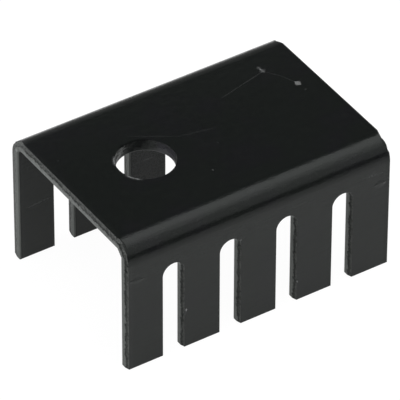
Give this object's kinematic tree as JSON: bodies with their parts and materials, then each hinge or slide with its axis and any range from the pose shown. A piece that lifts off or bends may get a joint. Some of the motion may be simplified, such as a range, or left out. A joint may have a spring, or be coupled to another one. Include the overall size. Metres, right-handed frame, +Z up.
{
  "type": "transistor heat sink",
  "caption": "Folded sheet-metal channel with slotted fins down both sides and a screw hole in its web, to cool a power transistor.",
  "frame": {"origin": "in the plane of the fin tips, under the middle of the channel", "axes": "+X along the channel, away from the end with the screw hole; +Y across it; +Z up through the web, along the screw hole"},
  "size_m": [0.0192, 0.0132, 0.0095],
  "materials": {
    "black_anodised": "satin black anodised sheet"
  },
  "bodies": {
    "root": {"heat_sink": "black_anodised"}
  },
  "joints": []
}
